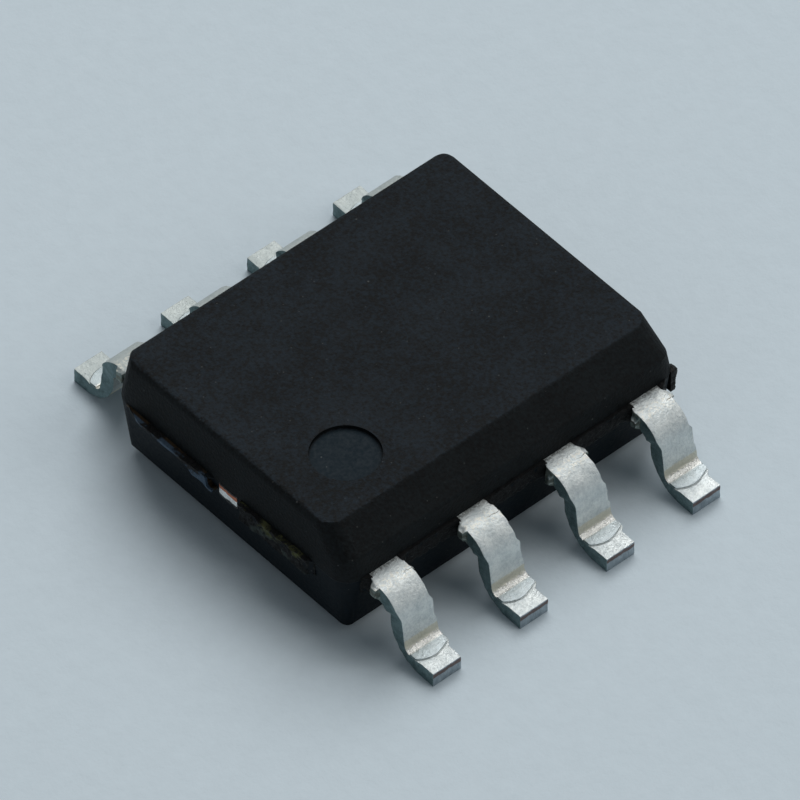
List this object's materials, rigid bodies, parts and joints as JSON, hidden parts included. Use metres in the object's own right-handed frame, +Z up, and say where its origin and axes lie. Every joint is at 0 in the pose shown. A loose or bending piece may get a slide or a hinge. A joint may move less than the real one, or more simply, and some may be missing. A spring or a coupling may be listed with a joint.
{
  "type": "soic chip",
  "caption": "Small-outline integrated circuit: black moulded body with gull-wing leads on two sides, a round dimple and a bevelled edge that mark lead 1.",
  "frame": {"origin": "on the seating plane, under the middle of the body", "axes": "+X along the lead rows from lead 1 towards lead 4, +Y across the body from leads 1 to 4 towards leads 5 to 8, +Z up"},
  "size_m": [0.005, 0.006, 0.0016],
  "materials": {
    "mould_compound": "fine spark-eroded black epoxy",
    "tin_plate": "matte tin plate over copper",
    "copper_frame": "rolled copper alloy",
    "silver_epoxy": "silver-filled adhesive",
    "silicon": "polished and patterned silicon",
    "gold_wire": "drawn gold wire"
  },
  "bodies": {
    "root": {"mould_body": "mould_compound", "lead_1": "tin_plate", "lead_2": "tin_plate", "lead_3": "tin_plate", "lead_4": "tin_plate", "lead_5": "tin_plate", "lead_6": "tin_plate", "lead_7": "tin_plate", "lead_8": "tin_plate", "die_paddle": "copper_frame", "die_attach": "silver_epoxy", "silicon_chip": "silicon", "bond_wire_1": "gold_wire", "bond_wire_2": "gold_wire", "bond_wire_3": "gold_wire", "bond_wire_4": "gold_wire", "bond_wire_5": "gold_wire", "bond_wire_6": "gold_wire", "bond_wire_7": "gold_wire", "bond_wire_8": "gold_wire"}
  },
  "joints": []
}
